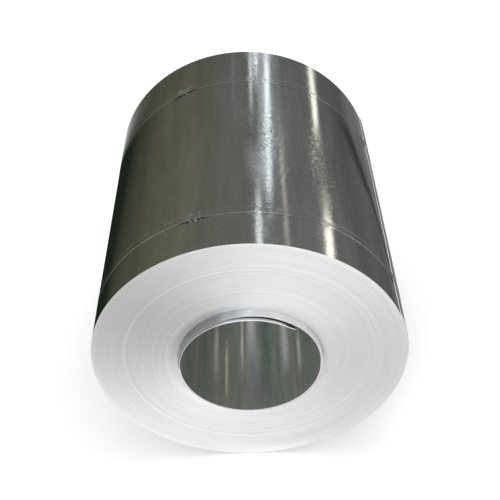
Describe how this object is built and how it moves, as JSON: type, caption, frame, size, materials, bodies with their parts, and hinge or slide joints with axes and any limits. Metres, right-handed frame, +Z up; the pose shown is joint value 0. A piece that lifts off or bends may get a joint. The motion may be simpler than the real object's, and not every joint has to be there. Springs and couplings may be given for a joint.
{
  "type": "steel coil",
  "caption": "Coil of wide steel strip lying on its side, with an open bore, inner turns slid forwards at one end, and sealed steel straps round its outside.",
  "frame": {"origin": "on the ground, under the middle of the coil's full length", "axes": "+Z up, +Y along the coil's axis from its front end to its back end, +X to the right when seen from the front"},
  "size_m": [1.1521, 1.2936, 1.1499],
  "materials": {
    "strip": "smooth galvanised steel strip, rolled lengthwise",
    "strap": "bright steel strapping with rounded edges",
    "seal": "zinc-plated sheet, crimped"
  },
  "bodies": {
    "root": {"steel_coil": "strip", "strap_front": "strap", "strap_rear": "strap", "seal_front": "seal", "seal_rear": "seal"}
  },
  "joints": []
}
